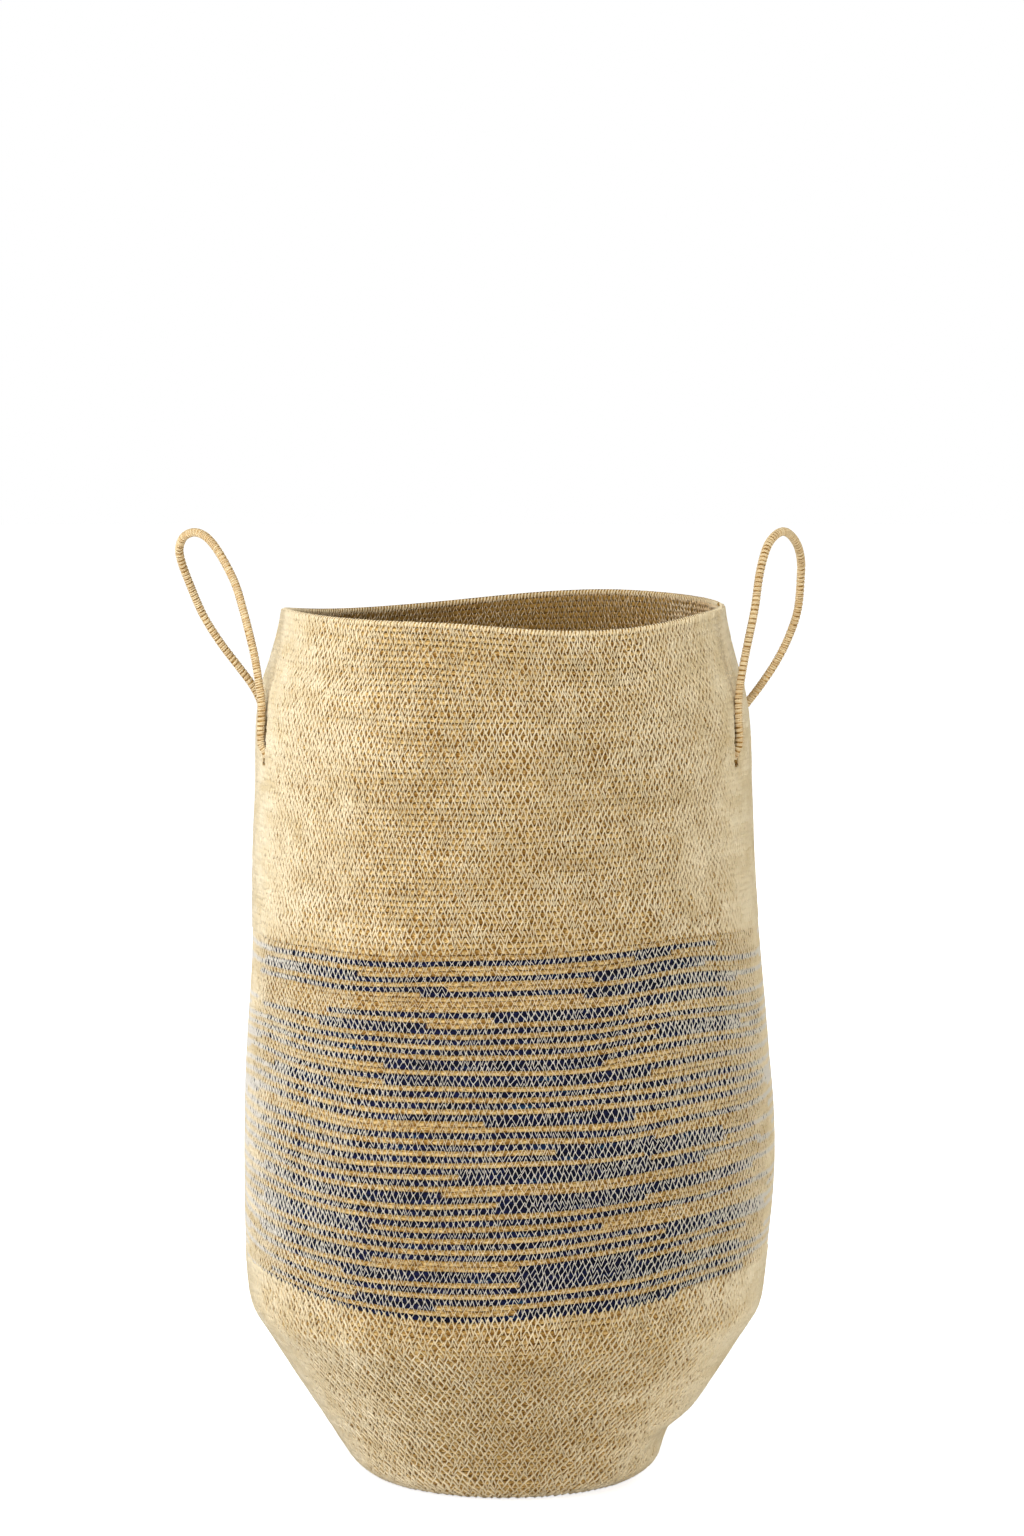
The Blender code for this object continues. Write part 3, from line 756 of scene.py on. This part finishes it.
# Rows above the band's foot that are blue, and stretches in degrees that are blue or plain.
BLUE_ROWS = (0, 3, 5, 8, 11, 13, 15, 17, 19, 21, 24, 26, 28, 30, 32, 35, 37, 39, 42, 45, 47, 49,
             51, 54, 58, 61, 64)
DYED_BESIDE = {
    1: (-88, -28), 2: (-152, -105), 6: (-87, -30), 7: (-128, -50), 9: (-88, -28), 10: (-158, -120),
    12: (-55, -18), 16: (-155, -121), 20: (-92, -25), 22: (-155, -104), 25: (-101, -20),
    27: (-60, -37), 29: (-80, -37), 34: (-95, -62), 40: (-152, -131), 41: (-117, -58),
    44: (-117, -69), 48: (-55, -28), 52: (-160, -107), 53: (-93, -62), 55: (-62, -33),
    57: (-73, -28), 59: (-162, -103), 60: (-71, -40), 62: (-158, -124), 63: (-61, -51)}
LEFT_PLAIN = {
    0: (-50, -2), 3: (-175, -124), 8: (-62, 4), 15: (-70, -8), 19: (-60, -3), 24: (-44, 6),
    26: (-59, -10), 30: (-57, 2), 51: (-170, -135), 54: (-182, -133), 58: (-176, -109),
    64: (-36, -5)}


def within(degrees, stretch):
    """1 inside a stretch of angles, with a short fade at its ends."""
    first, last = stretch
    return np.clip(np.minimum(degrees - first, last - degrees) / STRETCH_FADE + 0.5, 0, 1)


def blue_share(turn):
    """How blue the cord is at a turn: in the blue rows, and in stretches beside them."""
    chance = np.random.default_rng(BAND_SEED)
    starts = np.arange(ROW_COUNTS[1]) + chance.uniform(0.06, 0.46, ROW_COUNTS[1])
    row = np.clip(np.searchsorted(starts, turn - band_start, "right") - 1, 0, None)
    degrees = np.degrees(angle_at(turn)) % 360 - 360
    share = np.zeros(len(turn))
    for i in range(ROW_COUNTS[1]):
        knots = chance.uniform(-1, 1, BLUE_KNOTS)
        ends = chance.uniform(*FRONT_REACH, 2)
        mine = row == i
        if not mine.any():
            continue
        place = np.clip((turn[mine] - band_start - i) * KNOTS_PER_TURN, 0, BLUE_KNOTS - 2)
        at = place.astype(int)
        wave = knots[at] + (knots[at + 1] - knots[at]) * ease(place - at)
        between = i + 1 in BLUE_ROWS and i - 2 in BLUE_ROWS
        lean = 1.0 if i in BLUE_ROWS else 0.3 if between else -0.85
        here = degrees[mine]
        seen = np.full(len(here), float(i in BLUE_ROWS))
        if i in DYED_BESIDE:
            seen = np.maximum(seen, within(here, DYED_BESIDE[i]))
        if i in LEFT_PLAIN:
            seen = np.minimum(seen, 1 - within(here, LEFT_PLAIN[i]))
        front = np.where(here > FRONT_MIDDLE, *ends) - np.abs(here - FRONT_MIDDLE)
        front = np.clip(front / FRONT_FADE, 0, 1)
        share[mine] = np.clip((wave + lean) * 5 + 0.5, 0, 1) * (1 - front) + seen * front
    return share


band_rows = wind("belly_band_cord", band_start, band_end, blue_share)
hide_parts("belly_band")
on_basket(band_rows)
band_middle = (band_start + band_end) // 2
for part, first, last in (("low", band_start, band_middle), ("high", band_middle, band_end)):
    on_basket(stitches(f"belly_band_thread_{part}", first, last, blue_share, thread=0.0009,
                       overlap=0.28))
on_basket(stitches("belly_band_thread_inside", band_start, band_end, blue_share, True,
                   INSIDE_THREAD))

# The upper wall. Natural cord again, sewn as below, up to the neck and the rim. It is turned back
# at the four slits that the handles go through.
CUT_SAMPLES = 4001


def slit_cuts():
    """Turns at which the cord meets and leaves a slit."""
    cuts = []
    for whole in range(band_end, ROWS - 1):
        turn = whole + np.linspace(0, 1, CUT_SAMPLES)
        place, _, _ = cord_place(turn)
        half = slit_half_width(place[:, 2])
        for side, spread in HANDLE_SPREADS.items():
            for way in (-1, 1):
                near = np.abs(place[:, 1] - way * spread) < half
                inside = turn[near & (place[:, 0] * side > 0)]
                if len(inside):
                    cuts.append((inside[0], inside[-1]))
    return sorted(cuts)


upper_rows = wind("upper_wall_cord", band_end, ROWS - 2, undyed, slit_cuts())
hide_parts("upper_wall")
on_basket(upper_rows)
upper_middle = (band_end + ROWS) // 2
for part, first, last in (("low", band_end, upper_middle), ("high", upper_middle, ROWS - 2)):
    on_basket(stitches(f"upper_wall_thread_{part}", first, last, undyed))
on_basket(stitches("upper_wall_thread_inside", band_end, ROWS - 2, undyed, True, INSIDE_THREAD))

# The rim. The last turn of the cord, which runs out in a taper on the right. Close loops of the
# same thread go round it and hold it to the row below.
STITCHES_PER_LOOP, RIM_GAP, RIM_SAMPLES = 0.6, 0.004, 3600
LOOP_DEEP, LOOP_TALL = 0.00155, 0.00172
rim_row = wind("rim_cord", ROWS - 2, ROWS - 1, undyed, taper=True)
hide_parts("rim_coil")
on_basket(rim_row)
turn = np.linspace(ROWS - 2, ROWS - 1 - RIM_GAP, RIM_SAMPLES)
place, out, height = cord_place(turn)
run = length_along(place)
size, place, up = run_out(turn, place, out, height)
round_cord = TURN * run / (STITCHES[2] * STITCHES_PER_LOOP)
way = out * np.cos(round_cord)[:, None] * LOOP_DEEP + up * np.sin(round_cord)[:, None] * LOOP_TALL
facts = {"out": unit(way), "girth": np.ones(len(turn)), "turn": turn - turn[0], "run": run,
         **dict.fromkeys(("dye_from", "dye_to", "end"), 0 * turn), "shade": 0.2 + 0 * turn}
whipping = nodes_piece(
    "rim_thread", place + way * size[:, None], chain(len(turn)), facts, laid_cord,
    {"Through wall": 0.0004, "Row height": 0.0011, "Sides": 5, "Material": pale_thread})
map_cord(whipping, 1)
on_basket(whipping)

# The handles. Each is a loop of thicker cord, bound close with thread, that stands up from two
# slits in the wall. Its two ends are sewn flat to the inside of the wall below the slits.
HANDLE_CORD, HANDLE_RISE = 0.0059, 0.1432
CORE_HALF, CORE_WIDE = 0.00245, 0.00467
WRAP_PITCH, WRAP_SAMPLES, WRAP_ROUND = 0.00155, 14, 0.02
TAIL_LENGTH, TAIL_POINTS, TAIL_GAP = 0.036, 30, 0.0006
HANDLE_SEED, TAIL_SEED = 60, 80
ROUTE_STEPS, LOOP_POINTS = 12, 160
CLEAR_HEIGHTS, CLEAR_SHARES = (0.001, 0.009, 0.030), (0, 0.85, 1)
ASIDE, ONE_ROW = (0.0, 0.3, 1.0), 0.999
# Each loop: its side, its reach and hinge along X, and its route from slit to slit as shares of
# the reach, of the slits' spread and of the rise.
LOOPS = {
    "right": (1, 0.0488, 0.14718, (
        (0.00, -1.000, 0.000), (0.00, -1.000, 0.024), (0.00, -1.000, 0.055), (0.01, -1.000, 0.100),
        (0.04, -0.998, 0.195), (0.08, -0.983, 0.295), (0.13, -0.958, 0.410), (0.205, -0.917, 0.538),
        (0.29, -0.842, 0.674), (0.36, -0.690, 0.825), (0.46, -0.480, 0.935), (0.57, -0.280, 0.983),
        (0.70, -0.050, 1.000), (0.82, 0.200, 0.978), (0.93, 0.420, 0.925), (0.99, 0.580, 0.855),
        (1.00, 0.690, 0.775), (0.97, 0.810, 0.615), (0.86, 0.885, 0.488), (0.70, 0.935, 0.371),
        (0.50, 0.970, 0.263), (0.31, 0.990, 0.175), (0.14, 1.000, 0.100), (0.06, 1.000, 0.055),
        (0.02, 1.000, 0.024), (0.00, 1.000, 0.000))),
    "left": (-1, 0.0602, -0.15467, (
        (0.00, -1.000, 0.000), (0.00, -1.000, 0.024), (0.01, -1.000, 0.055), (0.02, -1.000, 0.100),
        (0.04, -1.000, 0.165), (0.06, -0.992, 0.250), (0.09, -0.975, 0.345), (0.13, -0.942, 0.449),
        (0.19, -0.892, 0.556), (0.26, -0.808, 0.665), (0.34, -0.690, 0.770), (0.45, -0.545, 0.860),
        (0.57, -0.375, 0.935), (0.69, -0.190, 0.982), (0.82, 0.010, 0.995), (0.94, 0.210, 0.970),
        (1.00, 0.390, 0.915), (0.99, 0.520, 0.855), (0.93, 0.650, 0.770), (0.77, 0.790, 0.598),
        (0.58, 0.875, 0.462), (0.40, 0.930, 0.358), (0.24, 0.968, 0.265), (0.15, 0.990, 0.190),
        (0.09, 1.000, 0.110), (0.06, 1.000, 0.055), (0.03, 1.000, 0.024), (0.00, 1.000, 0.000)))}


def wall_x(side, spread, height, depth):
    """Distance along X of the even wall, a depth in, at a spread and a height."""
    return lean_at(height) + side * np.sqrt((radius_at(height) - depth) ** 2 - spread ** 2)


def along_x(depth, spread):
    """A depth straight into the wall, measured along X at a spread."""
    return depth / math.cos(spread / NECK_RADIUS)


def smooth_route(points, steps):
    """Evenly spaced points on a smooth curve through a route's own points."""
    knots = np.array(points)
    ends = np.vstack((2 * knots[0] - knots[1], knots, 2 * knots[-1] - knots[-2]))
    fine = []
    for i in range(1, len(ends) - 2):
        before, start, end, after = ends[i - 1:i + 3]
        for t in np.linspace(0, 1, ROUTE_STEPS, endpoint=False):
            fine.append(0.5 * (2 * start + (end - before) * t
                               + (2 * before - 5 * start + 4 * end - after) * t ** 2
                               + (3 * start - before - 3 * end + after) * t ** 3))
    fine = np.array(fine + [knots[-1]])
    run = length_along(fine)
    even = np.linspace(0, run[-1], steps)
    return np.column_stack([np.interp(even, run, fine[:, axis]) for axis in range(3)]), even


def loop_route(side, reach, pivot, shares):
    """The line of a handle's cord, which stands clear of the wall below the rim."""
    spread = HANDLE_SPREADS[side]
    route = []
    for out, along, up in shares:
        height, away = HANDLE_RISE * up, reach * out
        level = SLIT_HEIGHT + height
        if level < RIM_HEIGHT:
            clear = side * (float(wall_x(side, spread * along, level, 0)) - pivot)
            clear += along_x(HANDLE_CORD / 2, spread)
            away = max(away, clear * float(np.interp(height, CLEAR_HEIGHTS, CLEAR_SHARES)))
        route.append((pivot + side * away, spread * along, level))
    return smooth_route(route, LOOP_POINTS)


def bound_cord(name, line, run, radii, seed):
    """A fibre core and the thread wound close round it."""
    way = unit(np.gradient(line, axis=0))
    side = unit(np.cross(way, ASIDE))
    count = len(line)
    core_facts = {"out": side, "girth": radii, "run": run, "turn": run / run[-1] * ONE_ROW,
                  "dye": np.zeros(count), "shade": wander(seed, count, 12)}
    core = nodes_piece(
        f"{name}_core", line, chain(count), core_facts, laid_cord,
        {"Through wall": CORE_HALF, "Row height": CORE_WIDE, "Sides": 10, "Material": handle_fibre})
    map_cord(core, 1)
    turns = run[-1] / WRAP_PITCH
    share = np.linspace(0, 1, int(turns * WRAP_SAMPLES))
    sway = 0.20 * np.cos(share * turns * math.pi) + 0.22 * wander(seed + 1, len(share), 11)
    spread = share + sway / turns
    at = np.clip(spread, 0, 1) * run[-1]
    here = np.column_stack([np.interp(at, run, line[:, axis]) for axis in range(3)])
    ahead = unit(np.column_stack([np.interp(at, run, way[:, axis]) for axis in range(3)]))
    across = unit(np.cross(ahead, ASIDE))
    other = np.cross(ahead, across)
    turned = share * turns * TURN
    out = across * np.cos(turned)[:, None] + other * np.sin(turned)[:, None]
    size = np.interp(at, run, radii)
    wrap = here + out * (CORE_HALF * size)[:, None]
    facts = {"out": out, "girth": size, "run": share * turns * WRAP_ROUND, "turn": share * ONE_ROW,
             **dict.fromkeys(("dye_from", "dye_to", "end"), 0 * share),
             "shade": wander(seed + 2, len(share), 8)}
    thread = nodes_piece(
        f"{name}_binding", wrap, chain(len(share)), facts, laid_cord,
        {"Through wall": 0.00048, "Row height": 0.00118, "Sides": 4, "Material": binding_thread})
    map_cord(thread, 1)
    return core, thread


# Handle core: the second last colour is painted shade in the valleys; the last one, for the face
# towards the inside, is the pale colour again.
handle_fibre = fibre_cord("handle_fibre", pale="c09c64", dark="a07c44", spot="8c6834",
                          valley_shade="8c6834", inside_shade="c09c64")
binding_thread = sewing_thread("binding_thread", pale="e2cda2", dark="d0b486", stained="ccae7a")
for place, (side, reach, pivot, shares) in LOOPS.items():
    line, run = loop_route(side, reach, pivot, shares)
    core, thread = bound_cord(f"{place}_handle_loop", line, run, np.ones(len(line)),
                              HANDLE_SEED + side)
    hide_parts(f"{place}_handle_loop")
    for piece in (core, thread):
        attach(piece, f"{place}_handle")
    spread = HANDLE_SPREADS[side]
    inset = WALL_THICKNESS + along_x(HANDLE_CORD / 2 + TAIL_GAP, spread)
    heights = SLIT_HEIGHT - np.linspace(HANDLE_CORD / 2, HANDLE_CORD / 2 + TAIL_LENGTH, TAIL_POINTS)
    radii = np.interp(np.linspace(0, 1, TAIL_POINTS), (0, 0.5, 1), (1, 1, 0.55))
    for way_name, way in (("front", -1), ("back", 1)):
        line = np.column_stack((wall_x(side, spread, heights, inset),
                                np.full(TAIL_POINTS, way * spread), heights))
        tail = f"{place}_handle_{way_name}_tail"
        core, thread = bound_cord(tail, line, length_along(line), radii,
                                  TAIL_SEED + 2 * side + way)
        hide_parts(tail)
        for piece in (core, thread):
            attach(piece, "basket")

# The studio. A white floor that keeps the basket's shadow, and soft square lamps: three large
# ones on the left, in front and behind, a smaller one above and a weak one on the right. The
# camera stands where the photograph was taken from.
FLOOR_SIZE, FLOOR_GLOW = 9, 0.76


def seen_rays(wire, *kinds):
    """1 for rays of some kinds, so that only the camera sees the white."""
    rays = [wire.node("ShaderNodeLightPath", {}, {}, f"Is {kind} Ray") for kind in kinds]
    seen = rays[0]
    for ray in rays[1:]:
        seen = wire.maths("MAXIMUM", seen, ray)
    return seen


floor_mesh = bpy.data.meshes.new("floor")
floor_mesh.from_pydata([(x * FLOOR_SIZE, y * FLOOR_SIZE, 0)
                        for x, y in ((-1, -1), (1, -1), (1, 1), (-1, 1))], [], [(0, 1, 2, 3)])
floor = into_scene("floor", floor_mesh)
white, wire, shader = finish("white_floor", 0.9)
shader.inputs["Base Color"].default_value = (0.82, 0.82, 0.82, 1)
shader.inputs["Emission Color"].default_value = (1, 1, 1, 1)
glow = seen_rays(wire, "Camera", "Glossy") * FLOOR_GLOW
wire.tree.links.new(glow.socket, shader.inputs["Emission Strength"])
floor_mesh.materials.append(white)

world = bpy.data.worlds.new("studio")
bpy.context.scene.world = world
world.use_nodes = True
ground = world.node_tree.nodes["Background"]
sky = seen_rays(Wire(world.node_tree, None), "Camera", "Glossy", "Transmission")
sky = sky.blend((0.38, 0.38, 0.38, 1), (1, 1, 1, 1))
world.node_tree.links.new(sky.socket, ground.inputs["Color"])

# Each lamp: its name, its place, the height it looks at, its size, its power and its tint.
for name, place, aim, size, power, tint in (
        ("left_softbox", (-2.8, -1.3, 0.30), 0.24, 2.0, 65, (0.96, 1.0, 1.14)),
        ("high_softbox", (-1.1, -1.7, 2.5), 0.5, 1.2, 45, (1, 1, 1)),
        ("right_softbox", (2.8, -0.9, 0.25), 0.3, 1.1, 21, (1.0, 0.98, 0.93)),
        ("front_softbox", (0.6, -3.4, 0.15), 0.12, 2.0, 66, (1.0, 0.99, 0.98)),
        ("back_softbox", (1.6, 3.0, 0.6), 0.3, 2.0, 70, (1, 1, 1))):
    data = bpy.data.lights.new(name, "AREA")
    data.color, data.size, data.energy = tint, size, power
    lamp = into_scene(name, data)
    lamp.location = place
    x, y, z = place
    lamp.rotation_euler = (math.atan2(math.hypot(x, y), z - aim), 0, math.atan2(x, -y))

eye = bpy.data.cameras.new("camera")
eye.lens = 125.39
eye.sensor_width = 36
eye.clip_end = 50
camera = into_scene("camera", eye)
camera.location = (0.0043, -3.5, 0.875)
camera.rotation_euler = (math.radians(83.4), 0, 0)
bpy.context.scene.camera = camera
bpy.context.scene.view_settings.view_transform = "Standard"
